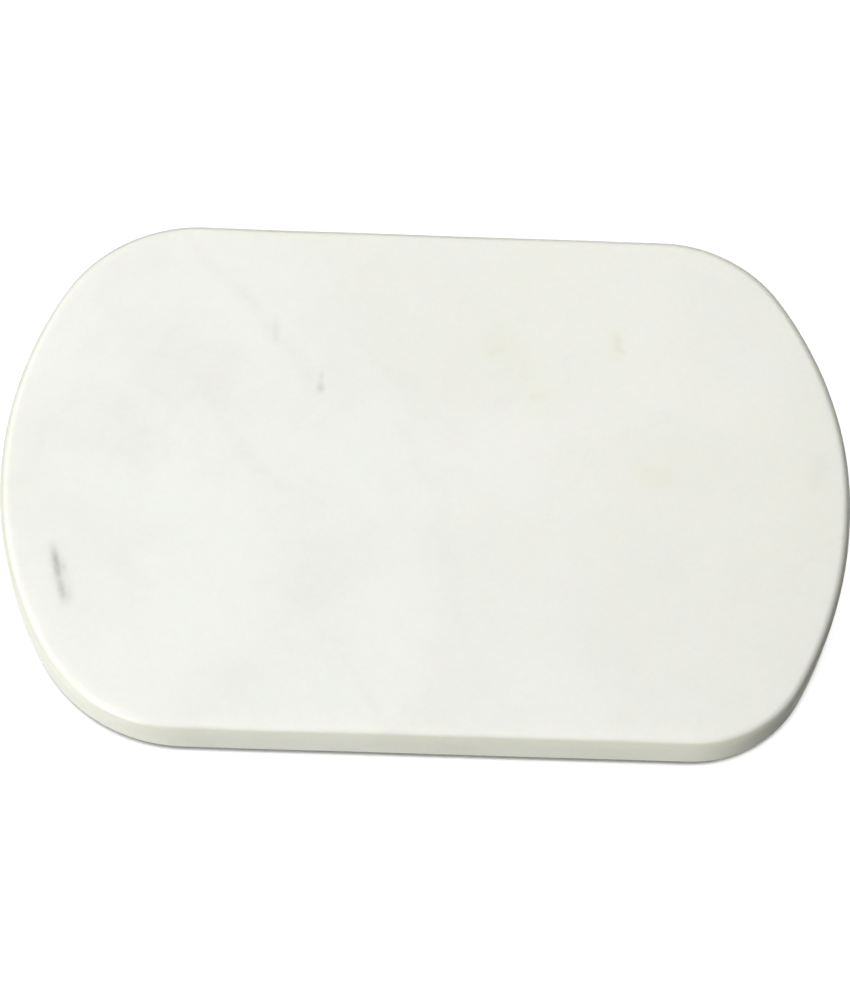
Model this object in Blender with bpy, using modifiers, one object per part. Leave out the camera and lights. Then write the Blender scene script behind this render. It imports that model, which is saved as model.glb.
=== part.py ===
"""A white marble chopping board, in metres, +Z up.

One slab of marble, cut by hand to a rounded oblong with softly bowed ends, stands on four
self-adhesive bumper feet. The origin is on the worktop under the middle of the board. +X runs
along the board to its tighter end, and -Y is the long side that faces the cook.
"""

from math import atan2, cos, pi, sin

import bmesh
import bpy

# The slab. Each corner is ground to its own radius, and each bow is how far the crown of an end
# stands out beyond its corners.
LENGTH = 0.300
WIDTH = 0.200
THICKNESS = 0.015
BACK_LEFT_RADIUS = 0.0545
FRONT_LEFT_RADIUS = 0.058
BACK_RIGHT_RADIUS = 0.0505
FRONT_RIGHT_RADIUS = 0.044
LEFT_END_BOW = 0.0115
RIGHT_END_BOW = 0.0145
TOP_ARRIS_RADIUS = 0.003
BOTTOM_ARRIS_RADIUS = 0.001

# The bumper feet, drawn in towards the worktop, and how far their centres lie inside the slab.
FOOT_DIAMETER = 0.0127
FOOT_HEIGHT = 0.002
FOOT_DRAW_IN = 0.0005
FOOT_RIM_RADIUS = 0.0005
FOOT_END_INSET = 0.045
FOOT_SIDE_INSET = 0.035

# The adhesive discs, with the bare rim of the foot that each leaves round itself.
ADHESIVE_THICKNESS = 0.0003
ADHESIVE_RIM = 0.0004

# Clearance between faces that touch.
FIT_GAP = 0.0003

# Heights above the worktop.
ADHESIVE_BASE = FOOT_HEIGHT + FIT_GAP
SLAB_BASE = ADHESIVE_BASE + ADHESIVE_THICKNESS + FIT_GAP

# How finely round stretches are divided.
CROWN_STEPS = 14
CORNER_STEPS = 16
ARRIS_SEGMENTS = 6
RIM_STEPS = 4
ROUND_STEPS = 40

# Welding distance for points that coincide, the angle within which faces are one flat, and the
# angle that makes an edge a crease.
WELD_DISTANCE = 0.00001
FLAT_ANGLE = 0.001
CREASE_ANGLE = pi / 5

# Colour and roughness of each material.
MARBLE_LOOK = ((0.87, 0.88, 0.82, 1.0), 0.35)
CLEAR_RUBBER_LOOK = ((0.72, 0.74, 0.72, 1.0), 0.45)
ADHESIVE_LOOK = ((0.80, 0.79, 0.72, 1.0), 0.60)


def clear_scene():
    for old in list(bpy.data.objects):
        bpy.data.objects.remove(old)


def plain_material(name, look):
    colour, roughness = look
    material = bpy.data.materials.new(name)
    material.use_nodes = True
    shader = material.node_tree.nodes["Principled BSDF"]
    shader.inputs["Base Color"].default_value = colour
    shader.inputs["Roughness"].default_value = roughness
    shader.inputs["Metallic"].default_value = 0.0
    return material


def add_object(name, data, collection, parent, height):
    piece = bpy.data.objects.new(name, data)
    piece.location.z = height
    piece.parent = parent
    collection.objects.link(piece)
    return piece


def evaluated_mesh(source, name):
    """Turn a curve, or a profile with modifiers, into a welded mesh, each flat face one polygon."""
    depsgraph = bpy.context.evaluated_depsgraph_get()
    mesh = bpy.data.meshes.new_from_object(source.evaluated_get(depsgraph))
    mesh.name = name
    bpy.data.objects.remove(source)
    shape = bmesh.new()
    shape.from_mesh(mesh)
    bmesh.ops.remove_doubles(shape, verts=shape.verts, dist=WELD_DISTANCE)
    bmesh.ops.recalc_face_normals(shape, faces=shape.faces)
    bmesh.ops.dissolve_limit(shape, angle_limit=FLAT_ANGLE, verts=shape.verts, edges=shape.edges)
    shape.to_mesh(mesh)
    shape.free()
    return mesh


def arc(centre_x, centre_y, radius, start, end, steps):
    """Points along an arc, without the one at its end."""
    turn = (end - start) / steps
    angles = [start + turn * step for step in range(steps)]
    return [(centre_x + radius * cos(angle), centre_y + radius * sin(angle)) for angle in angles]


def quarter_outline(corner_radius, bow):
    """One quarter of the slab's outline at +X +Y, from the end's crown to the long side.

    The crown's arc is centred on the long axis and runs into the corner's arc without a kink.
    """
    radius = min(corner_radius, WIDTH / 2 - bow)
    corner_x = LENGTH / 2 - radius - bow
    corner_y = WIDTH / 2 - radius
    centre_distance = (corner_y**2 + bow**2) / (2 * bow)
    crown_radius = radius + centre_distance
    sweep = atan2(corner_y, centre_distance - bow)
    crown = arc(LENGTH / 2 - crown_radius, 0.0, crown_radius, 0.0, sweep, CROWN_STEPS)
    corner = arc(corner_x, corner_y, radius, sweep, pi / 2, CORNER_STEPS)
    return crown + corner + [(corner_x, WIDTH / 2)]


def mirrored(points, x_sign, y_sign):
    return [(x_sign * x, y_sign * y) for x, y in points]


def slab_outline():
    """The whole outline, counterclockwise from the crown of the right end."""
    back_right = quarter_outline(BACK_RIGHT_RADIUS, RIGHT_END_BOW)
    back_left = mirrored(quarter_outline(BACK_LEFT_RADIUS, LEFT_END_BOW), -1, 1)
    front_left = mirrored(quarter_outline(FRONT_LEFT_RADIUS, LEFT_END_BOW), -1, -1)
    front_right = mirrored(quarter_outline(FRONT_RIGHT_RADIUS, RIGHT_END_BOW), 1, -1)
    return back_right + back_left[::-1] + front_left[1:] + front_right[:0:-1]


def blank_slab_mesh():
    """The outline drawn up to the slab's thickness, square-edged, about its own middle."""
    curve = bpy.data.curves.new("slab_outline", "CURVE")
    curve.dimensions = "2D"
    curve.fill_mode = "BOTH"
    curve.extrude = THICKNESS / 2
    points = slab_outline()
    spline = curve.splines.new("POLY")
    spline.points.add(len(points) - 1)
    for target, (x, y) in zip(spline.points, points):
        target.co = (x, y, 0.0, 1.0)
    spline.use_cyclic_u = True
    outline = bpy.data.objects.new("slab_outline", curve)
    bpy.context.scene.collection.objects.link(outline)
    return evaluated_mesh(outline, "marble_slab")


def weigh_arrises(mesh):
    """Weigh the rim of the top and of the underside by the radius that each is ground to."""
    shape = bmesh.new()
    shape.from_mesh(mesh)
    weight = shape.edges.layers.float.new("bevel_weight_edge")
    for edge in shape.edges:
        heights = [vert.co.z for vert in edge.verts]
        if min(heights) > 0.0:
            edge[weight] = 1.0
        elif max(heights) < 0.0:
            edge[weight] = BOTTOM_ARRIS_RADIUS / TOP_ARRIS_RADIUS
    shape.to_mesh(mesh)
    shape.free()


def make_slab(collection, board):
    mesh = blank_slab_mesh()
    weigh_arrises(mesh)
    mesh.shade_smooth()
    mesh.materials.append(plain_material("white_marble", MARBLE_LOOK))
    slab = add_object("marble_slab", mesh, collection, board, SLAB_BASE + THICKNESS / 2)
    arrises = slab.modifiers.new("arrises", "BEVEL")
    arrises.limit_method = "WEIGHT"
    arrises.width = TOP_ARRIS_RADIUS
    arrises.segments = ARRIS_SEGMENTS
    arrises.harden_normals = True


def foot_profile():
    """Half the foot's section, from the middle of its top down its side to the rest face."""
    top_radius = FOOT_DIAMETER / 2
    rest_radius = top_radius - FOOT_DRAW_IN
    rim = arc(rest_radius - FOOT_RIM_RADIUS, FOOT_RIM_RADIUS, FOOT_RIM_RADIUS, 0.0, -pi / 2, RIM_STEPS)
    rest = [(rest_radius - FOOT_RIM_RADIUS, 0.0), (0.0, 0.0)]
    return [(0.0, FOOT_HEIGHT), (top_radius, FOOT_HEIGHT)] + rim + rest


def foot_mesh():
    points = [(x, 0.0, z) for x, z in foot_profile()]
    edges = [(index, index + 1) for index in range(len(points) - 1)]
    profile_mesh = bpy.data.meshes.new("foot_profile")
    profile_mesh.from_pydata(points, edges, [])
    profile = bpy.data.objects.new("foot_profile", profile_mesh)
    bpy.context.scene.collection.objects.link(profile)
    turn = profile.modifiers.new("turn", "SCREW")
    turn.steps = ROUND_STEPS
    turn.render_steps = ROUND_STEPS
    turn.use_merge_vertices = True
    turn.merge_threshold = WELD_DISTANCE
    mesh = evaluated_mesh(profile, "bumper_foot")
    mesh.shade_smooth()
    mesh.set_sharp_from_angle(angle=CREASE_ANGLE)
    mesh.materials.append(plain_material("clear_rubber", CLEAR_RUBBER_LOOK))
    return mesh


def adhesive_mesh():
    """A thin disc that stands on its own base, a rim smaller than the foot all round."""
    radius = FOOT_DIAMETER / 2 - ADHESIVE_RIM
    shape = bmesh.new()
    bmesh.ops.create_cone(
        shape, cap_ends=True, segments=ROUND_STEPS,
        radius1=radius, radius2=radius, depth=ADHESIVE_THICKNESS,
    )
    bmesh.ops.translate(shape, verts=shape.verts, vec=(0.0, 0.0, ADHESIVE_THICKNESS / 2))
    mesh = bpy.data.meshes.new("adhesive_disc")
    shape.to_mesh(mesh)
    shape.free()
    mesh.shade_smooth()
    mesh.set_sharp_from_angle(angle=CREASE_ANGLE)
    mesh.materials.append(plain_material("acrylic_adhesive", ADHESIVE_LOOK))
    return mesh


def make_feet(collection, board):
    """A foot and its adhesive disc on an empty of their own under each corner of the slab."""
    foot = foot_mesh()
    adhesive = adhesive_mesh()
    foot_x = LENGTH / 2 - FOOT_END_INSET
    foot_y = WIDTH / 2 - FOOT_SIDE_INSET
    for row, y in (("front", -foot_y), ("back", foot_y)):
        for side, x in (("left", -foot_x), ("right", foot_x)):
            corner = add_object(f"{row}_{side}_corner", None, collection, board, 0.0)
            corner.location = (x, y, 0.0)
            add_object(f"bumper_foot_{row}_{side}", foot, collection, corner, 0.0)
            add_object(f"adhesive_disc_{row}_{side}", adhesive, collection, corner, ADHESIVE_BASE)


def main():
    clear_scene()
    collection = bpy.data.collections.new("marble_chopping_board")
    bpy.context.scene.collection.children.link(collection)
    board = add_object("board", None, collection, None, 0.0)
    make_slab(collection, board)
    make_feet(collection, board)


main()
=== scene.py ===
"""A white marble chopping board on clear bumper feet, in metres, +Z up.

The board lies on a pale worktop, with its tighter end towards +X and its front long side towards
-Y. A softbox stands at the front left, and a larger one is hung behind.
"""

from math import atan2, cos, pi, radians, sin

import bpy
from mathutils import Matrix, Vector, noise

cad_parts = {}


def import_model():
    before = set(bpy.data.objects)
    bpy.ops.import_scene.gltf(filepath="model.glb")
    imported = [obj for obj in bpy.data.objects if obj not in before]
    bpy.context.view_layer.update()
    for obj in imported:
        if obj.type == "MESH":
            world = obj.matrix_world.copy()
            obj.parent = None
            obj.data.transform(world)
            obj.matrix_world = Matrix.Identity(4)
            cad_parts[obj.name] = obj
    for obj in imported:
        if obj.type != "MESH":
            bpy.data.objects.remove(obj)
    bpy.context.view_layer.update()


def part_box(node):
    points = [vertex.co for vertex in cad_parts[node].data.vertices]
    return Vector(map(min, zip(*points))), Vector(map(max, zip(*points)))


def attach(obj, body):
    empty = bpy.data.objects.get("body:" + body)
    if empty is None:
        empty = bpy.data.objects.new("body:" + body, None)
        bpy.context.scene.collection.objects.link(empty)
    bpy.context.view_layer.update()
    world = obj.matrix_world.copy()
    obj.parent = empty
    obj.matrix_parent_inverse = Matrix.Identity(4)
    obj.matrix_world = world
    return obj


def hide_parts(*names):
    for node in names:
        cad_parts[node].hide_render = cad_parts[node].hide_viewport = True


# Where the camera stands: what it looks at, how far off, from how high and how far round, how it
# is tipped, and its lens.
CAMERA_AIM = (-0.00057, -0.00927, 0.0179)
CAMERA_DISTANCE = 1.0
CAMERA_ELEVATION = radians(63.33)
CAMERA_AZIMUTH = radians(-2.86)
CAMERA_ROLL = radians(4.39)
CAMERA_LENS = 103.15
CAMERA_SENSOR = 36.0
CAMERA_NEAR = 0.01
CAMERA_FAR = 50.0

# The slab's outline: the radius of each corner, and how far the crown of each end bows out.
BACK_LEFT_RADIUS = 0.0545
FRONT_LEFT_RADIUS = 0.058
BACK_RIGHT_RADIUS = 0.0505
FRONT_RIGHT_RADIUS = 0.044
LEFT_END_BOW = 0.0115
RIGHT_END_BOW = 0.0145

# Its ground edges: the rounding of the arrises, how much the top one varies, and how far the hand
# that ground the sides wandered inwards, in long waves and in short ones.
TOP_ARRIS_RADIUS = 0.003
TOP_ARRIS_VARIATION = 0.12
TOP_ARRIS_WAVE = 0.035
BOTTOM_ARRIS_RADIUS = 0.001
SIDE_WANDER = 0.00010
SIDE_WANDER_WAVE = 0.040
SIDE_RIPPLE = 0.00006
SIDE_RIPPLE_WAVE = 0.007

# How finely the slab is divided: from the crown of an end to the middle of a corner, from there
# to the middle of the long side, round the arrises, and down the sides. The flat faces begin with
# a narrow margin inside each arris.
END_STEPS = 44
LONG_SIDE_STEPS = 60
TOP_ARRIS_STEPS = 10
BOTTOM_ARRIS_STEPS = 5
SIDE_STEPS = 8
FLAT_MARGIN = 0.0004

# A face of the slab whose normal points down more than this belongs to the underside.
UNDERSIDE_NORMAL = -0.7

# The feet: the rounding of the rest face's rim, how far it draws in from the side, the hollow in the
# face, the fine flash left by the mould, and the swell of the adhesive's edge.
FOOT_RIM_RADIUS = 0.0005
FOOT_DRAW_IN = 0.0005
FOOT_HOLLOW = 0.00008
FOOT_FLASH = 0.00010
ADHESIVE_SWELL = 0.00005

# How finely the feet and the adhesive are divided, all the way round and down the rim, and the
# angle that makes an edge a crease.
ROUND_STEPS = 72
RIM_STEPS = 8
CREASE_ANGLE = radians(50.0)

# The colours of the stone and of what runs through it.
STONE_WHITE = (0.876, 0.886, 0.832, 1.0)
STONE_CLOUD = (0.842, 0.852, 0.790, 1.0)
STONE_CREAM = (0.874, 0.875, 0.780, 1.0)
GRAPHITE = (0.43, 0.43, 0.43, 1.0)
OCHRE = (0.88, 0.84, 0.60, 1.0)

# The stone's clouds and its cream patches: how long they are, and how the cream gathers from the
# front left to the back right.
CLOUD_WAVE = 0.055
CREAM_WAVE = 0.040
CREAM_LEAN = 0.8
CREAM_RUN = (-0.120, 0.180)
CREAM_MOST = 0.80

# Painted light: how the stone is drawn paler from the back left to the front right, as the light
# falls across it: how much of that is along Y, where it starts and ends, and how pale it is there.
PAINTED_LIGHT_LEAN = -0.35
PAINTED_LIGHT_RUN = (-0.060, 0.070)
PAINTED_LIGHT_RANGE = (0.984, 1.020)

# The threads that run all through the stone: how long they are, how far the noise that draws them
# may be from its middle value inside one, and how grey they are.
THREAD_WAVE = 0.075
THREAD_WIDTH = 0.022
THREAD_STRENGTH = 0.035

# Its crystals to the metre, and how much they differ in brightness.
CRYSTALS_PER_METRE = 900.0
CRYSTAL_DIFFERENCE = 0.016

# How far light goes in, in metres, and the share of that for red, green and blue.
LIGHT_DEPTH = 0.0035
LIGHT_REACH = (1.0, 0.88, 0.70)

# How rough the honed top is, how much rougher the ground sides are, what smudges and scratches add
# and what the marks take off, and how rough the sawn underside is.
HONED_ROUGHNESS = 0.33
SIDE_ROUGHNESS_ADDED = 0.12
WEAR_ROUGHNESS_ADDED = 0.05
MARK_ROUGHNESS_ADDED = -0.06
SAWN_ROUGHNESS = 0.58

# How deep the fine relief of each finish is.
HONED_RELIEF = 0.000008
SAWN_RELIEF = 0.000030
ELASTOMER_RELIEF = 0.00001
ADHESIVE_RELIEF = 0.00002

# The saw that cut the underside: where its blade turned, and the distance between its rings.
BLADE_CENTRE = (-0.020, -0.380, 0.0)
SAW_PITCH = 0.0031

# The clear rubber of the feet, clear and hazy, and the adhesive, with its yellower parts and its
# air specks: their colours, how rough they are, how much light goes through the rubber and how far
# that bends, and how many specks there are to the metre.
ELASTOMER_CLEAR = (0.93, 0.94, 0.92, 1.0)
ELASTOMER_HAZE = (0.86, 0.88, 0.86, 1.0)
ELASTOMER_ROUGHNESS = 0.12
ELASTOMER_TRANSMISSION = 0.50
ELASTOMER_IOR = 1.41
ADHESIVE_PALE = (0.84, 0.83, 0.76, 1.0)
ADHESIVE_YELLOW = (0.76, 0.75, 0.66, 1.0)
ADHESIVE_ROUGHNESS = 0.52
AIR_SPECK = (0.92, 0.92, 0.89, 1.0)
AIR_SPECKS_PER_METRE = 1600.0

# Painted shade on the sides: what is left there of the stone's white, darker and warmer than on
# the top face, and how much of that is left again where the top arris turns, to dim its highlight.
SIDE_SHADE_TONE = (0.80, 0.80, 0.735, 1.0)
ARRIS_SHADE_TONE = (0.955, 0.955, 0.960, 1.0)

# How far a vein moves sideways for each metre that it goes down into the stone.
VEIN_DIP = (0.9, -0.5)

# The grey marks as they come out on the top face: the half width of each, and the points that it
# runs through with its strength there.
STREAK = (
    (0.0023, (-0.1297, -0.0300, 0.00), (-0.1288, -0.0334, 0.20), (-0.1279, -0.0368, 0.60),
             (-0.1266, -0.0420, 0.57), (-0.1260, -0.0448, 0.27), (-0.1251, -0.0478, 0.45),
             (-0.1241, -0.0511, 0.38), (-0.1235, -0.0534, 0.10), (-0.1231, -0.0556, 0.00)),
    (0.0030, (-0.1272, -0.0365, 0.00), (-0.1256, -0.0405, 0.24), (-0.1248, -0.0440, 0.00)),
    (0.0030, (-0.1244, -0.0470, 0.00), (-0.1228, -0.0515, 0.16), (-0.1216, -0.0560, 0.00)),
)
STREAK_HALO = (
    (0.0050, (-0.1298, -0.0281, 0.00), (-0.1280, -0.0357, 0.12), (-0.1258, -0.0425, 0.13),
             (-0.1237, -0.0500, 0.12), (-0.1219, -0.0575, 0.00)),
)
DARK_FLECKS = (
    (0.0027, (-0.0558, 0.0618, 0.03), (-0.0558, 0.0580, 0.16), (-0.0556, 0.0530, 0.16),
             (-0.0553, 0.0497, 0.02)),
    (0.0017, (-0.0386, 0.0413, 0.03), (-0.0386, 0.0380, 0.19), (-0.0387, 0.0348, 0.19)),
    (0.0023, (-0.0387, 0.0348, 0.19), (-0.0388, 0.0329, 0.38), (-0.0390, 0.0307, 0.04)),
)
UPPER_VEIN = (
    (0.0045, (-0.0930, 0.1010, 0.04), (-0.0827, 0.0848, 0.04), (-0.0693, 0.0726, 0.04)),
    (0.0050, (-0.0693, 0.0726, 0.055), (-0.0570, 0.0560, 0.055), (-0.0465, 0.0443, 0.055),
             (-0.0400, 0.0330, 0.055)),
)
LOWER_VEIN = (
    (0.0060, (-0.0800, 0.0348, 0.05), (-0.0681, 0.0110, 0.05), (-0.0551, -0.0043, 0.05)),
    (0.0050, (-0.0551, -0.0043, 0.055), (-0.0373, -0.0116, 0.055)),
    (0.0050, (-0.0373, -0.0116, 0.035), (-0.0434, -0.0350, 0.035), (-0.0481, -0.0466, 0.035)),
    (0.0050, (-0.0481, -0.0466, 0.045), (-0.0285, -0.0685, 0.045), (-0.0178, -0.0866, 0.045),
             (-0.0100, -0.1010, 0.045)),
    (0.0065, (-0.0099, 0.0172, 0.03), (0.0047, -0.0101, 0.03), (0.0124, -0.0634, 0.03)),
    (0.0260, (-0.0440, -0.0150, 0.04), (-0.0330, -0.0780, 0.04)),
)
RIGHT_FLECKS = (
    (0.0022, (0.0681, 0.0569, 0.11), (0.0677, 0.0528, 0.11)),
    (0.0018, (0.0677, 0.0528, 0.08), (0.0709, 0.0512, 0.08)),
    (0.0065, (0.1392, 0.0110, 0.08), (0.1380, 0.0010, 0.08)),
)

# The yellowish ones, in the same way.
OCHRE_STAINS = (
    (0.0034, (0.0225, 0.0502, 0.2), (0.0254, 0.0516, 0.2)),
    (0.0042, (0.0377, 0.0323, 0.2), (0.0420, 0.0337, 0.2)),
    (0.0060, (0.0680, 0.0590, 0.14), (0.0677, 0.0500, 0.14)),
    (0.0070, (0.0770, 0.0030, 0.12), (0.0830, 0.0010, 0.12)),
    (0.0110, (0.0250, 0.0560, 0.08), (0.0420, 0.0300, 0.08)),
)

# The floor: how far it lies under the feet, how wide it is, the light it gives back to the board,
# and how white it looks out in the open and in the painted shadow under the board.
FLOOR_DEPTH = 0.00002
FLOOR_SIZE = 14.0
FLOOR_TONE = (0.30, 0.30, 0.27, 1.0)
FLOOR_GLOW = 0.95
GAP_GLOW = 0.030

# The painted contact shadow: how near a thing has to be to darken the floor, which way that
# leans, towards the light, and how open a place is where the dark of the gap ends and where the
# full white starts.
CONTACT_REACH = 0.005
CONTACT_LEAN = (-0.12, 0.0, 0.99)
CONTACT_EDGE = (0.60, 0.66)

# The softboxes: which way each stands from the board and how far off, its width, its power in
# watts and its colour.
SIDE_SOFTBOX = ((-0.61, -0.67, 0.42), 2.2, 1.3, 53.0, (1.0, 1.0, 1.03))
BACK_SOFTBOX = ((-0.18, 0.58, 0.79), 2.9, 2.6, 63.5, (1.0, 1.0, 0.99))

FLOAT = "NodeSocketFloat"
VECTOR = "NodeSocketVector"
COLOUR = "NodeSocketColor"


def add_camera():
    aim = Vector(CAMERA_AIM)
    back = Vector((
        sin(CAMERA_AZIMUTH) * cos(CAMERA_ELEVATION),
        -cos(CAMERA_AZIMUTH) * cos(CAMERA_ELEVATION),
        sin(CAMERA_ELEVATION),
    ))
    level = Vector((0.0, 0.0, 1.0)).cross(back).normalized()
    upright = back.cross(level)
    across = level * cos(CAMERA_ROLL) + upright * sin(CAMERA_ROLL)
    up = upright * cos(CAMERA_ROLL) - level * sin(CAMERA_ROLL)
    data = bpy.data.cameras.new("camera")
    data.lens = CAMERA_LENS
    data.sensor_width = CAMERA_SENSOR
    data.clip_start = CAMERA_NEAR
    data.clip_end = CAMERA_FAR
    camera = bpy.data.objects.new("camera", data)
    turn = Matrix((across, up, back)).transposed().to_4x4()
    camera.matrix_world = Matrix.Translation(aim + back * CAMERA_DISTANCE) @ turn
    bpy.context.scene.collection.objects.link(camera)
    bpy.context.scene.camera = camera


def add_node(tree, kind, feeds=None, **settings):
    """Add a shader node and feed its inputs with plain values or with other nodes' outputs."""
    node = tree.nodes.new(kind)
    for name, value in settings.items():
        setattr(node, name, value)
    for socket, value in (feeds or {}).items():
        feed(tree, node.inputs[socket], value)
    return node


def feed(tree, socket, value):
    if isinstance(value, bpy.types.NodeSocket):
        tree.links.new(value, socket)
    else:
        socket.default_value = value


def maths(tree, operation, *values, clamp=False):
    node = add_node(tree, "ShaderNodeMath", dict(enumerate(values)), operation=operation)
    node.use_clamp = clamp
    return node.outputs["Value"]


def vector_maths(tree, operation, *values):
    node = add_node(tree, "ShaderNodeVectorMath", dict(enumerate(values)), operation=operation)
    return node.outputs["Vector"]


def vector_measure(tree, operation, *values):
    node = add_node(tree, "ShaderNodeVectorMath", dict(enumerate(values)), operation=operation)
    return node.outputs["Value"]


def stretched(tree, vector, factor):
    node = add_node(tree, "ShaderNodeVectorMath", {0: vector, "Scale": factor}, operation="SCALE")
    return node.outputs["Vector"]


def ramp(tree, value, start, end, low=0.0, high=1.0):
    """A value that goes smoothly from low to high as the given one goes from start to end."""
    feeds = {"Value": value, "From Min": start, "From Max": end, "To Min": low, "To Max": high}
    node = add_node(tree, "ShaderNodeMapRange", feeds, interpolation_type="SMOOTHSTEP")
    return node.outputs["Result"]


def mottle(tree, position, wave, detail=2.0, roughness=0.5):
    """Soft noise about one half, whose blotches are about one wave long."""
    feeds = {"Vector": position, "Scale": 1.0 / wave, "Detail": detail, "Roughness": roughness}
    return add_node(tree, "ShaderNodeTexNoise", feeds)


def pushed_about(tree, position, wave, reach):
    """A position moved by soft noise, so that what is drawn with it wanders."""
    drift = mottle(tree, position, wave).outputs["Color"]
    centred = vector_maths(tree, "SUBTRACT", drift, (0.5, 0.5, 0.5))
    return vector_maths(tree, "ADD", position, stretched(tree, centred, reach))


def blended(tree, share, first, second, how="MIX"):
    """The first colour with that share of the second blended in."""
    node = add_node(tree, "ShaderNodeMix", data_type="RGBA", blend_type=how)
    feed(tree, node.inputs["Factor"], share)
    colours = [socket for socket in node.inputs if socket.type == "RGBA"]
    feed(tree, colours[0], first)
    feed(tree, colours[1], second)
    return next(socket for socket in node.outputs if socket.type == "RGBA")


def new_effect(name, inputs, outputs):
    """Start a shader group and return it with its inputs' and outputs' sockets."""
    effect = bpy.data.node_groups.new(name, "ShaderNodeTree")
    for label, kind in inputs.items():
        effect.interface.new_socket(label, in_out="INPUT", socket_type=kind)
    for label, kind in outputs.items():
        effect.interface.new_socket(label, in_out="OUTPUT", socket_type=kind)
    given = effect.nodes.new("NodeGroupInput").outputs
    gives = effect.nodes.new("NodeGroupOutput").inputs
    return effect, given, gives


def place_effect(tree, effect, feeds):
    node = add_node(tree, "ShaderNodeGroup", node_tree=effect)
    for socket, value in feeds.items():
        feed(tree, node.inputs[socket], value)
    return node.outputs


def mineral_stroke_effect():
    """A soft stroke between two points, that strong along its middle and nothing at its edge."""
    inputs = {"Position": VECTOR, "Start": VECTOR, "End": VECTOR, "Half Width": FLOAT}
    inputs |= {"Start Strength": FLOAT, "End Strength": FLOAT}
    effect, given, gives = new_effect("mineral_stroke", inputs, {"Mask": FLOAT})
    along = vector_maths(effect, "SUBTRACT", given["End"], given["Start"])
    reach = vector_maths(effect, "SUBTRACT", given["Position"], given["Start"])
    ahead = vector_measure(effect, "DOT_PRODUCT", reach, along)
    length = vector_measure(effect, "DOT_PRODUCT", along, along)
    travelled = maths(effect, "DIVIDE", ahead, length, clamp=True)
    away = vector_measure(effect, "DISTANCE", reach, stretched(effect, along, travelled))
    feeds = {"Value": travelled}
    feeds |= {"To Min": given["Start Strength"], "To Max": given["End Strength"]}
    strength = add_node(effect, "ShaderNodeMapRange", feeds).outputs["Result"]
    faded = ramp(effect, away, given["Half Width"], 0.0)
    feed(effect, gives["Mask"], maths(effect, "MULTIPLY", faded, strength))
    return effect


def marks(tree, stroke_effect, position, mark_list):
    """The strongest of several marks at each place."""
    strongest = 0.0
    for half_width, *points in mark_list:
        for start, end in zip(points, points[1:]):
            feeds = {"Position": position, "Half Width": half_width}
            feeds |= {"Start": (*start[:2], 0.0), "Start Strength": start[2]}
            feeds |= {"End": (*end[:2], 0.0), "End Strength": end[2]}
            mask = place_effect(tree, stroke_effect, feeds)["Mask"]
            strongest = maths(tree, "MAXIMUM", mask, strongest)
    return strongest


def place_on_top_face(tree, position, top):
    """Where a point of the stone comes out on the top face, along the dip of the veins."""
    parts = add_node(tree, "ShaderNodeSeparateXYZ", {"Vector": position}).outputs
    depth = maths(tree, "SUBTRACT", top, parts["Z"])
    x = maths(tree, "MULTIPLY_ADD", depth, VEIN_DIP[0], parts["X"])
    y = maths(tree, "MULTIPLY_ADD", depth, VEIN_DIP[1], parts["Y"])
    return add_node(tree, "ShaderNodeCombineXYZ", {"X": x, "Y": y}).outputs["Vector"]


def hairline_veins(tree, position):
    """Very faint threads that run all through the stone, along the middle value of soft noise."""
    wandering = pushed_about(tree, position, 0.060, 0.030)
    field = mottle(tree, wandering, THREAD_WAVE, detail=3.0).outputs["Fac"]
    off_line = maths(tree, "ABSOLUTE", maths(tree, "SUBTRACT", field, 0.5))
    thread = ramp(tree, off_line, THREAD_WIDTH, 0.0)
    patches = ramp(tree, mottle(tree, position, 0.050).outputs["Fac"], 0.45, 0.65)
    return maths(tree, "MULTIPLY", thread, patches)


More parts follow.
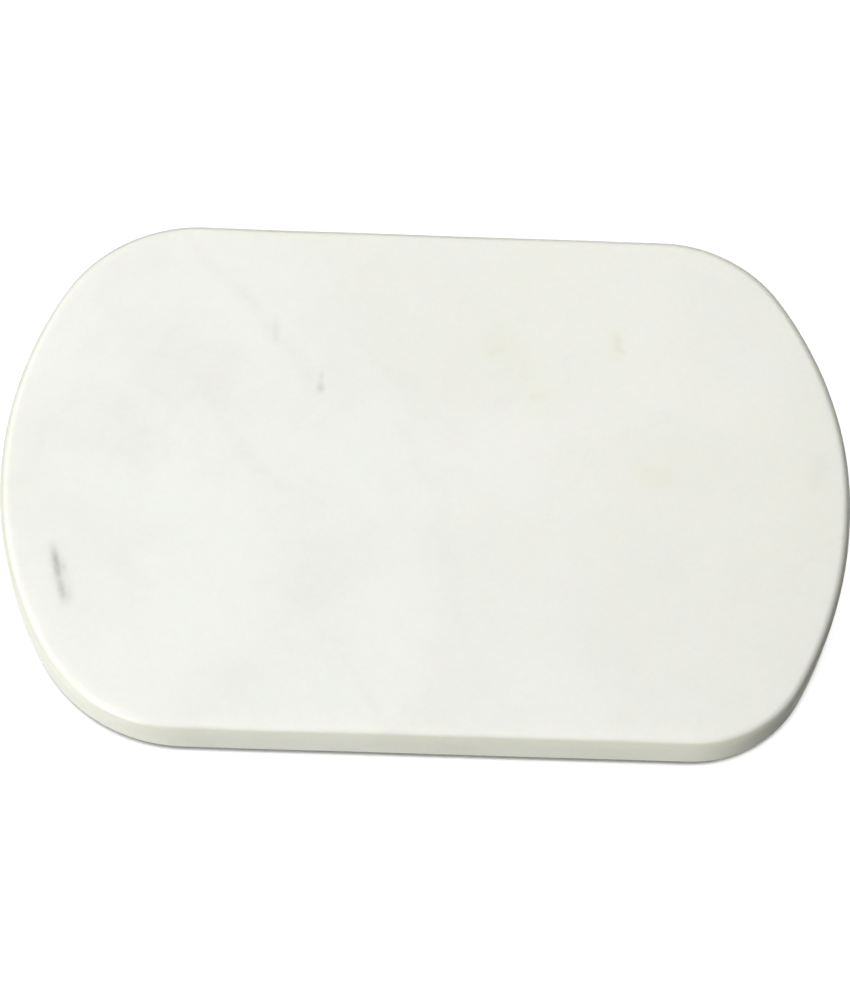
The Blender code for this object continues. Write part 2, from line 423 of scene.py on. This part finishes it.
def white_marble_effect(top):
    """The stone itself: its clouds, cream patches, veins, marks and crystals, and a painted light
    gradient.
    """
    outputs = {"Color": COLOUR, "Crystals": FLOAT, "Marks": FLOAT}
    effect, given, gives = new_effect("white_marble", {"Position": VECTOR}, outputs)
    position = given["Position"]
    parts = add_node(effect, "ShaderNodeSeparateXYZ", {"Vector": position}).outputs
    cloud = mottle(effect, position, CLOUD_WAVE, detail=4.0, roughness=0.6).outputs["Fac"]
    clouds = ramp(effect, cloud, 0.40, 0.68)
    colour = blended(effect, clouds, STONE_WHITE, STONE_CLOUD)
    diagonal = maths(effect, "MULTIPLY_ADD", parts["Y"], CREAM_LEAN, parts["X"])
    lean = ramp(effect, diagonal, *CREAM_RUN, 0.0, CREAM_MOST)
    patch = mottle(effect, pushed_about(effect, position, 0.030, 0.020), CREAM_WAVE).outputs["Fac"]
    cream = maths(effect, "MULTIPLY", lean, ramp(effect, patch, 0.25, 0.70, 0.55, 1.0))
    colour = blended(effect, cream, colour, STONE_CREAM)
    # Painted light: the stone drawn paler towards the front right, standing in for how the light
    # falls.
    run = maths(effect, "MULTIPLY_ADD", parts["Y"], PAINTED_LIGHT_LEAN, parts["X"])
    colour = stretched(effect, colour, ramp(effect, run, *PAINTED_LIGHT_RUN, *PAINTED_LIGHT_RANGE))

    stroke = mineral_stroke_effect()
    on_top = place_on_top_face(effect, position, top)
    wandering = pushed_about(effect, on_top, 0.022, 0.0030)
    ragged = pushed_about(effect, wandering, 0.0035, 0.0012)
    gaps = mottle(effect, ragged, 0.006, detail=3.0).outputs["Fac"]
    broken = ramp(effect, gaps, 0.30, 0.62, 0.35, 1.0)
    veins = marks(effect, stroke, ragged, UPPER_VEIN + LOWER_VEIN + RIGHT_FLECKS)
    threads = maths(effect, "MULTIPLY", hairline_veins(effect, position), THREAD_STRENGTH)
    along_streak = pushed_about(effect, on_top, 0.0035, 0.0010)
    grain = ramp(effect, mottle(effect, on_top, 0.0016).outputs["Fac"], 0.35, 0.60, 0.80, 1.0)
    streak = marks(effect, stroke, along_streak, STREAK + DARK_FLECKS)
    streak = maths(effect, "MULTIPLY", streak, grain)
    streak = maths(effect, "ADD", streak, marks(effect, stroke, along_streak, STREAK_HALO))
    grey = maths(effect, "MULTIPLY", maths(effect, "MAXIMUM", veins, threads), broken)
    grey = maths(effect, "MAXIMUM", grey, streak)
    colour = blended(effect, grey, colour, GRAPHITE, "MULTIPLY")
    stains = marks(effect, stroke, ragged, OCHRE_STAINS)
    colour = blended(effect, stains, colour, OCHRE, "MULTIPLY")

    feeds = {"Vector": position, "Scale": CRYSTALS_PER_METRE}
    cells = add_node(effect, "ShaderNodeTexVoronoi", feeds).outputs["Color"]
    crystal = add_node(effect, "ShaderNodeSeparateXYZ", {"Vector": cells}).outputs["X"]
    shine = maths(effect, "MULTIPLY_ADD", crystal, CRYSTAL_DIFFERENCE, 1.0 - CRYSTAL_DIFFERENCE / 2)
    feed(effect, gives["Color"], stretched(effect, colour, shine))
    feed(effect, gives["Crystals"], crystal)
    feed(effect, gives["Marks"], grey)
    return effect


def handling_effect():
    """What hands and cloths leave on a surface: dull smudges and hair-fine scratches."""
    inputs = {"Position": VECTOR, "Wave": FLOAT}
    effect, given, gives = new_effect("handling", inputs, {"Smudges": FLOAT, "Scratches": FLOAT})
    scaled = vector_maths(effect, "DIVIDE", given["Position"], given["Wave"])
    smudge = mottle(effect, scaled, 1.0, detail=3.0, roughness=0.6).outputs["Fac"]
    feed(effect, gives["Smudges"], ramp(effect, smudge, 0.42, 0.68))
    scratches = 0.0
    for turn in (0.35, 1.45, 2.60):
        stretch = {"Vector": scaled, "Rotation": (0.0, 0.0, turn), "Scale": (1.2, 55.0, 1.0)}
        lines = add_node(effect, "ShaderNodeMapping", stretch).outputs["Vector"]
        line = mottle(effect, lines, 1.0, detail=1.0).outputs["Fac"]
        scratches = maths(effect, "MAXIMUM", ramp(effect, line, 0.70, 0.76), scratches)
    feed(effect, gives["Scratches"], scratches)
    return effect


def new_material(name):
    material = bpy.data.materials.new(name)
    material.use_nodes = True
    tree = material.node_tree
    position = add_node(tree, "ShaderNodeTexCoord").outputs["Object"]
    return material, tree, tree.nodes["Principled BSDF"], position


def bump(tree, height, depth):
    feeds = {"Height": height, "Distance": depth}
    return add_node(tree, "ShaderNodeBump", feeds).outputs["Normal"]


def let_light_in(shader):
    """Marble lets light a few millimetres in, and the red of it furthest."""
    shader.subsurface_method = "RANDOM_WALK"
    shader.inputs["Subsurface Weight"].default_value = 1.0
    shader.inputs["Subsurface Radius"].default_value = LIGHT_REACH
    shader.inputs["Subsurface Scale"].default_value = LIGHT_DEPTH


def honed_marble(marble, handling, top):
    """The top face and its arris, honed to a satin, and the sides below, ground less finely and
    painted darker as shade.
    """
    material, tree, shader, position = new_material("honed_marble")
    stone = place_effect(tree, marble, {"Position": position})
    wear = place_effect(tree, handling, {"Position": position, "Wave": 0.045})
    parts = add_node(tree, "ShaderNodeSeparateXYZ", {"Vector": position}).outputs
    side = ramp(tree, parts["Z"], top - 0.0014, top - 0.0040)
    feeds = {"Vector": position, "Scale": (1.0, 1.0, 0.10)}
    drawn_down = add_node(tree, "ShaderNodeMapping", feeds).outputs["Vector"]
    stripes = mottle(tree, drawn_down, 0.0022, detail=3.0).outputs["Fac"]
    low_on_side = ramp(tree, parts["Z"], top - 0.0060, top - 0.0130, 0.35, 1.0)
    grinding = maths(tree, "MULTIPLY", maths(tree, "MULTIPLY", stripes, low_on_side), side)
    # Painted shade: the sides are drawn darker and warmer than the top face.
    side_shade = ramp(tree, parts["Z"], top, top - 0.0009)
    # Painted shade: darker again where the top arris turns, dimming the highlight there.
    arris_shade = maths(tree, "MULTIPLY", side_shade, ramp(tree, parts["Z"], top - 0.0030, top - 0.0010))
    shaded_stone = blended(tree, side_shade, stone["Color"], SIDE_SHADE_TONE, "MULTIPLY")
    shaded_stone = blended(tree, arris_shade, shaded_stone, ARRIS_SHADE_TONE, "MULTIPLY")
    shade = maths(tree, "MULTIPLY_ADD", grinding, 0.050, 1.0)
    feed(tree, shader.inputs["Base Color"], stretched(tree, shaded_stone, shade))

    roughness = maths(tree, "MULTIPLY_ADD", side, SIDE_ROUGHNESS_ADDED, HONED_ROUGHNESS)
    for worn in (wear["Smudges"], wear["Scratches"]):
        roughness = maths(tree, "MULTIPLY_ADD", worn, WEAR_ROUGHNESS_ADDED, roughness)
    roughness = maths(tree, "MULTIPLY_ADD", stone["Marks"], MARK_ROUGHNESS_ADDED, roughness)
    feed(tree, shader.inputs["Roughness"], roughness)
    ridges = maths(tree, "MULTIPLY", grinding, 2.0)
    relief = maths(tree, "MULTIPLY_ADD", stone["Crystals"], 0.25, ridges)
    relief = maths(tree, "SUBTRACT", relief, maths(tree, "MULTIPLY", wear["Scratches"], 0.6))
    feed(tree, shader.inputs["Normal"], bump(tree, relief, HONED_RELIEF))
    let_light_in(shader)
    return material


def sawn_marble(marble, handling):
    """The underside, left as the saw left it: rougher, duller and faintly ringed."""
    material, tree, shader, position = new_material("sawn_marble")
    stone = place_effect(tree, marble, {"Position": position})
    wear = place_effect(tree, handling, {"Position": position, "Wave": 0.060})
    from_centre = vector_maths(tree, "SUBTRACT", position, BLADE_CENTRE)
    from_blade = vector_measure(tree, "LENGTH", from_centre)
    rings = maths(tree, "SINE", maths(tree, "MULTIPLY", from_blade, 2.0 * pi / SAW_PITCH))
    fading = ramp(tree, mottle(tree, position, 0.030).outputs["Fac"], 0.35, 0.65, 0.2, 1.0)
    saw_marks = maths(tree, "MULTIPLY", rings, fading)
    shade = maths(tree, "MULTIPLY_ADD", saw_marks, 0.010, 0.955)
    feed(tree, shader.inputs["Base Color"], stretched(tree, stone["Color"], shade))
    roughness = maths(tree, "MULTIPLY_ADD", wear["Smudges"], 0.10, SAWN_ROUGHNESS)
    feed(tree, shader.inputs["Roughness"], roughness)
    relief = maths(tree, "MULTIPLY_ADD", stone["Crystals"], 0.8, saw_marks)
    feed(tree, shader.inputs["Normal"], bump(tree, relief, SAWN_RELIEF))
    let_light_in(shader)
    return material


def clear_elastomer(handling):
    """The feet: clear, a little milky, and dulled where they have been handled."""
    material, tree, shader, position = new_material("clear_elastomer")
    wear = place_effect(tree, handling, {"Position": position, "Wave": 0.006})
    haze = ramp(tree, mottle(tree, position, 0.0030, detail=3.0).outputs["Fac"], 0.30, 0.70)
    colour = blended(tree, haze, ELASTOMER_CLEAR, ELASTOMER_HAZE)
    feed(tree, shader.inputs["Base Color"], colour)
    roughness = maths(tree, "MULTIPLY_ADD", wear["Smudges"], 0.10, ELASTOMER_ROUGHNESS)
    roughness = maths(tree, "MULTIPLY_ADD", wear["Scratches"], 0.10, roughness)
    feed(tree, shader.inputs["Roughness"], roughness)
    feed(tree, shader.inputs["Normal"], bump(tree, haze, ELASTOMER_RELIEF))
    shader.inputs["Transmission Weight"].default_value = ELASTOMER_TRANSMISSION
    shader.inputs["IOR"].default_value = ELASTOMER_IOR
    return material


def acrylic_adhesive():
    """The adhesive between foot and stone: pale, slightly yellow, with fine air specks in it."""
    material, tree, shader, position = new_material("acrylic_adhesive")
    tone = ramp(tree, mottle(tree, position, 0.0025, detail=3.0).outputs["Fac"], 0.30, 0.70)
    colour = blended(tree, tone, ADHESIVE_PALE, ADHESIVE_YELLOW)
    feeds = {"Vector": position, "Scale": AIR_SPECKS_PER_METRE}
    cells = add_node(tree, "ShaderNodeTexVoronoi", feeds)
    specks = ramp(tree, cells.outputs["Distance"], 0.22, 0.10)
    feed(tree, shader.inputs["Base Color"], blended(tree, specks, colour, AIR_SPECK))
    roughness = maths(tree, "MULTIPLY_ADD", tone, 0.12, ADHESIVE_ROUGHNESS)
    feed(tree, shader.inputs["Roughness"], roughness)
    feed(tree, shader.inputs["Normal"], bump(tree, specks, ADHESIVE_RELIEF))
    return material


def quarter_rim(corner_radius, bow, half_length, half_width):
    """A quarter of the slab's rim at +X +Y, from the end's crown to the middle of the long side.

    Each point comes with its outward direction. The steps are even up to the middle of the corner,
    and even again from there.
    """
    corner_x = half_length - corner_radius - bow
    corner_y = half_width - corner_radius
    centre_distance = (corner_y**2 + bow**2) / (2 * bow)
    crown_radius = corner_radius + centre_distance
    crown_centre = Vector((half_length - crown_radius, 0.0))
    corner_centre = Vector((corner_x, corner_y))
    sweep = atan2(corner_y, centre_distance - bow)
    crown_run = crown_radius * sweep
    corner_run = corner_radius * (pi / 2 - sweep)
    end_run = crown_run + corner_run / 2
    long_side_run = corner_run / 2 + corner_x
    end_travel = [end_run * step / END_STEPS for step in range(END_STEPS)]
    side_steps = range(LONG_SIDE_STEPS + 1)
    side_travel = [end_run + long_side_run * step / LONG_SIDE_STEPS for step in side_steps]
    rim = []
    for travel in end_travel + side_travel:
        centre, radius, angle = crown_centre, crown_radius, travel / crown_radius
        if travel > crown_run:
            angle = min(sweep + (travel - crown_run) / corner_radius, pi / 2)
            centre, radius = corner_centre, corner_radius
        outward = Vector((cos(angle), sin(angle)))
        along_side = max(0.0, travel - crown_run - corner_run)
        rim.append((centre + outward * radius - Vector((along_side, 0.0)), outward))
    return rim


def mirrored(rim, x_sign, y_sign):
    flip = Matrix(((x_sign, 0.0), (0.0, y_sign)))
    return [(flip @ point, flip @ outward) for point, outward in rim]


def slab_rim(half_length, half_width):
    """The whole rim, counterclockwise from the crown of the right end."""
    back_right = quarter_rim(BACK_RIGHT_RADIUS, RIGHT_END_BOW, half_length, half_width)
    back_left = quarter_rim(BACK_LEFT_RADIUS, LEFT_END_BOW, half_length, half_width)
    front_left = quarter_rim(FRONT_LEFT_RADIUS, LEFT_END_BOW, half_length, half_width)
    front_right = quarter_rim(FRONT_RIGHT_RADIUS, RIGHT_END_BOW, half_length, half_width)
    back_half = back_right[:-1] + mirrored(back_left, -1, 1)[:0:-1]
    front_half = mirrored(front_left, -1, -1)[:-1] + mirrored(front_right, 1, -1)[:0:-1]
    return back_half + front_half


def side_profile(base, top, arris_radius):
    """How far in and how high each ring of the edge lies, from the top face to the underside."""
    profile = [(arris_radius + FLAT_MARGIN, top)]
    for step in range(TOP_ARRIS_STEPS + 1):
        angle = pi / 2 * (1.0 - step / TOP_ARRIS_STEPS)
        inset = arris_radius * (1.0 - cos(angle))
        profile.append((inset, top - arris_radius * (1.0 - sin(angle))))
    side_top = top - arris_radius
    side_drop = side_top - base - BOTTOM_ARRIS_RADIUS
    for step in range(1, SIDE_STEPS):
        profile.append((0.0, side_top - side_drop * step / SIDE_STEPS))
    for step in range(BOTTOM_ARRIS_STEPS + 1):
        angle = pi / 2 * step / BOTTOM_ARRIS_STEPS
        inset = BOTTOM_ARRIS_RADIUS * (1.0 - cos(angle))
        profile.append((inset, base + BOTTOM_ARRIS_RADIUS * (1.0 - sin(angle))))
    profile.append((BOTTOM_ARRIS_RADIUS + FLAT_MARGIN, base))
    return profile


def hand_wander(x, y, z):
    """How far inwards the ground side lies of the true outline."""
    long_wave = noise.noise(Vector((x, y, z * 0.5)) / SIDE_WANDER_WAVE)
    short_wave = noise.noise(Vector((x, y, z)) / SIDE_RIPPLE_WAVE)
    return SIDE_WANDER * (0.5 + 0.5 * long_wave) + SIDE_RIPPLE * (0.5 + 0.5 * short_wave)


def edge_rings(rim, base, top):
    """The rings of points that make the slab's edge, highest first."""
    columns = []
    for point, outward in rim:
        wave = noise.noise(Vector((point.x, point.y, 0.0)) / TOP_ARRIS_WAVE)
        arris_radius = TOP_ARRIS_RADIUS * (1.0 + TOP_ARRIS_VARIATION * wave)
        column = []
        for inset, height in side_profile(base, top, arris_radius):
            wander = hand_wander(point.x, point.y, height)
            place = point - outward * (inset + wander)
            column.append((place.x, place.y, height))
        columns.append(column)
    return [list(ring) for ring in zip(*columns)]


def cap_grid(ring, first):
    """An even grid of points inside a ring, and its faces.

    The ring is a list of points, numbered upwards from 0, and the new points from first. The
    grid's corners are the middles of the slab's four corners.
    """
    across = 2 * LONG_SIDE_STEPS
    deep = 2 * END_STEPS
    count = len(ring)
    back_right = END_STEPS
    back_left = back_right + across
    front_left = back_left + deep
    front_right = front_left + across

    def ring_index(column, row):
        if row == 0:
            return front_left + column
        if row == deep:
            return back_left - column
        if column == 0:
            return front_left - row
        return (front_right + row) % count

    def spread(column, row):
        u = column / across
        v = row / deep
        front, back = ring[ring_index(column, 0)], ring[ring_index(column, deep)]
        left, right = ring[ring_index(0, row)], ring[ring_index(across, row)]
        corners = [ring[index] for index in (front_left, front_right, back_left, back_right)]
        weights = ((1 - u) * (1 - v), u * (1 - v), (1 - u) * v, u * v)
        point = []
        for axis in range(3):
            sides = (1 - v) * front[axis] + v * back[axis] + (1 - u) * left[axis] + u * right[axis]
            shared = sum(weight * corner[axis] for weight, corner in zip(weights, corners))
            point.append(sides - shared)
        return tuple(point)

    points = []
    number = {}
    for row in range(deep + 1):
        for column in range(across + 1):
            if 0 < row < deep and 0 < column < across:
                number[column, row] = first + len(points)
                points.append(spread(column, row))
            else:
                number[column, row] = ring_index(column, row)
    faces = []
    for row in range(deep):
        for column in range(across):
            around = ((column, row), (column + 1, row), (column + 1, row + 1), (column, row + 1))
            faces.append([number[place] for place in around])
    return points, faces


def slab_mesh(base, top, half_length, half_width):
    """The slab, whose faces that look down take the second material."""
    rings = edge_rings(slab_rim(half_length, half_width), base, top)
    count = len(rings[0])
    points = [point for ring in rings for point in ring]
    faces = []
    for level in range(len(rings) - 1):
        for index in range(count):
            after = (index + 1) % count
            above = level * count
            below = above + count
            faces.append([above + index, below + index, below + after, above + after])

    top_points, top_faces = cap_grid(rings[0], len(points))
    points += top_points
    faces += top_faces
    last_ring = (len(rings) - 1) * count
    under_points, under_faces = cap_grid(rings[-1], len(points) - last_ring)
    points += under_points
    faces += [[number + last_ring for number in reversed(face)] for face in under_faces]

    mesh = bpy.data.meshes.new("marble_board")
    mesh.from_pydata(points, [], faces)
    mesh.shade_smooth()
    for polygon in mesh.polygons:
        polygon.material_index = int(polygon.normal.z < UNDERSIDE_NORMAL)
    mesh.validate()
    return mesh


def add_piece(name, mesh, slot, node, *materials):
    for material in materials:
        mesh.materials.append(material)
    piece = bpy.data.objects.new(name, mesh)
    bpy.context.scene.collection.objects.link(piece)
    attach(piece, "root")
    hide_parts(node)


def add_slab(marble, handling):
    low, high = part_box("marble_slab")
    half_length = (high.x - low.x) / 2
    half_width = (high.y - low.y) / 2
    mesh = slab_mesh(low.z, high.z, half_length, half_width)
    materials = (honed_marble(marble, handling, high.z), sawn_marble(marble, handling))
    add_piece("marble_board", mesh, "marble", "marble_slab", *materials)


def turned_mesh(name, profile, centre):
    """A round solid about the upright line through the centre.

    The profile goes from the middle of the top, round the side, to the middle of the underside.
    """
    points = []
    for radius, height in profile[1:-1]:
        for step in range(ROUND_STEPS):
            angle = 2 * pi * step / ROUND_STEPS
            points.append((centre.x + radius * cos(angle), centre.y + radius * sin(angle), height))
    faces = []
    for level in range(len(profile) - 3):
        for step in range(ROUND_STEPS):
            after = (step + 1) % ROUND_STEPS
            above = level * ROUND_STEPS
            below = above + ROUND_STEPS
            faces.append([above + step, below + step, below + after, above + after])
    top_middle = len(points)
    under_middle = top_middle + 1
    points += [(centre.x, centre.y, profile[0][1]), (centre.x, centre.y, profile[-1][1])]
    last = top_middle - ROUND_STEPS
    for step in range(ROUND_STEPS):
        after = (step + 1) % ROUND_STEPS
        faces.append([top_middle, step, after])
        faces.append([under_middle, last + after, last + step])
    mesh = bpy.data.meshes.new(name)
    mesh.from_pydata(points, [], faces)
    mesh.shade_smooth()
    mesh.set_sharp_from_angle(angle=CREASE_ANGLE)
    return mesh


def foot_profile(radius, top):
    """Down the foot's side from the adhesive to the rest face, which is hollowed a little."""
    rest_radius = radius - FOOT_DRAW_IN
    rim_centre = rest_radius - FOOT_RIM_RADIUS
    profile = [(0.0, top), (radius * 0.5, top), (radius - FOOT_FLASH * 1.5, top)]
    profile += [(radius, top - FOOT_FLASH * 0.6), (radius, top - FOOT_FLASH * 1.4)]
    profile.append((radius - FOOT_FLASH, top - FOOT_FLASH * 2.2))
    for step in range(RIM_STEPS + 1):
        angle = pi / 2 * step / RIM_STEPS
        height = FOOT_RIM_RADIUS * (1.0 - sin(angle))
        profile.append((rim_centre + FOOT_RIM_RADIUS * cos(angle), height))
    profile += [(rim_centre * 0.85, 0.0), (rim_centre * 0.70, FOOT_HOLLOW * 0.6)]
    profile += [(rim_centre * 0.45, FOOT_HOLLOW), (0.0, FOOT_HOLLOW)]
    return profile


def adhesive_profile(radius, base, top):
    middle = (base + top) / 2
    swell = radius + ADHESIVE_SWELL
    return [(0.0, top), (radius * 0.6, top), (radius, top), (swell, middle), (radius, base),
            (radius * 0.6, base), (0.0, base)]


def add_feet(handling):
    """A foot and its adhesive under each corner, each up against what it is stuck to."""
    elastomer = clear_elastomer(handling)
    acrylic = acrylic_adhesive()
    slab_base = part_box("marble_slab")[0].z
    for corner in ("front_left", "front_right", "back_left", "back_right"):
        low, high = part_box(f"bumper_foot_{corner}")
        glue_low, glue_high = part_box(f"adhesive_disc_{corner}")
        centre = (low + high) / 2
        profile = foot_profile((high.x - low.x) / 2, glue_low.z)
        foot = turned_mesh(f"clear_foot_{corner}", profile, centre)
        add_piece(f"clear_foot_{corner}", foot, "clear_rubber", f"bumper_foot_{corner}", elastomer)
        profile = adhesive_profile((glue_high.x - glue_low.x) / 2, glue_low.z, slab_base)
        glue = turned_mesh(f"glue_disc_{corner}", profile, centre)
        add_piece(f"glue_disc_{corner}", glue, "adhesive", f"adhesive_disc_{corner}", acrylic)


def seen_directly(tree):
    """1 for what the camera, a reflection or clear rubber shows, and 0 for light on things."""
    path = add_node(tree, "ShaderNodeLightPath").outputs
    seen = maths(tree, "MAXIMUM", path["Is Camera Ray"], path["Is Glossy Ray"])
    return maths(tree, "MAXIMUM", seen, path["Is Transmission Ray"])


def pale_worktop():
    """White to look at, grey to the light that it gives back, and darkened close to the board as a
    painted shadow.
    """
    material = bpy.data.materials.new("pale_worktop")
    material.use_nodes = True
    tree = material.node_tree
    tree.nodes.clear()
    matt = add_node(tree, "ShaderNodeBsdfDiffuse", {"Color": FLOOR_TONE}).outputs["BSDF"]
    leaning = add_node(tree, "ShaderNodeCombineXYZ", dict(zip("XYZ", CONTACT_LEAN)))
    lit_from = leaning.outputs["Vector"]
    feeds = {"Distance": CONTACT_REACH, "Normal": lit_from}
    openness = add_node(tree, "ShaderNodeAmbientOcclusion", feeds, samples=16).outputs["AO"]
    # Painted shadow: near the board the floor's white glow fades to dark, on top of its real shade.
    glow = ramp(tree, openness, *CONTACT_EDGE, GAP_GLOW, FLOOR_GLOW)
    strength = maths(tree, "MULTIPLY", glow, seen_directly(tree))
    white = add_node(tree, "ShaderNodeEmission", {"Strength": strength}).outputs["Emission"]
    both = add_node(tree, "ShaderNodeAddShader", {0: matt, 1: white}).outputs["Shader"]
    add_node(tree, "ShaderNodeOutputMaterial", {"Surface": both})
    return material


def add_floor():
    half = FLOOR_SIZE / 2
    corners = [(-half, -half, 0.0), (half, -half, 0.0), (half, half, 0.0), (-half, half, 0.0)]
    mesh = bpy.data.meshes.new("worktop")
    mesh.from_pydata(corners, [], [(0, 1, 2, 3)])
    mesh.materials.append(pale_worktop())
    floor = bpy.data.objects.new("worktop", mesh)
    floor.location.z = -FLOOR_DEPTH
    bpy.context.scene.collection.objects.link(floor)


def add_surround():
    """White all round to look at, which adds no light of its own to the board."""
    world = bpy.data.worlds.new("white_surround")
    world.use_nodes = True
    bpy.context.scene.world = world
    tree = world.node_tree
    tree.nodes.clear()
    feeds = {"Color": (1.0, 1.0, 1.0, 1.0), "Strength": seen_directly(tree)}
    shader = add_node(tree, "ShaderNodeBackground", feeds).outputs["Background"]
    add_node(tree, "ShaderNodeOutputWorld", {"Surface": shader})


def add_softbox(name, direction, distance, width, power, colour):
    data = bpy.data.lights.new(name, "AREA")
    data.shape = "SQUARE"
    data.size = width
    data.energy = power
    data.color = colour
    softbox = bpy.data.objects.new(name, data)
    away = Vector(direction).normalized()
    softbox.location = away * distance
    softbox.rotation_mode = "QUATERNION"
    softbox.rotation_quaternion = away.to_track_quat("Z", "Y")
    softbox.visible_camera = False
    bpy.context.scene.collection.objects.link(softbox)


def main():
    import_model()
    add_camera()
    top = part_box("marble_slab")[1].z
    marble = white_marble_effect(top)
    handling = handling_effect()
    add_slab(marble, handling)
    add_feet(handling)
    add_floor()
    add_surround()
    add_softbox("side_softbox", *SIDE_SOFTBOX)
    add_softbox("back_softbox", *BACK_SOFTBOX)
    bpy.context.scene.view_settings.view_transform = "Standard"


main()
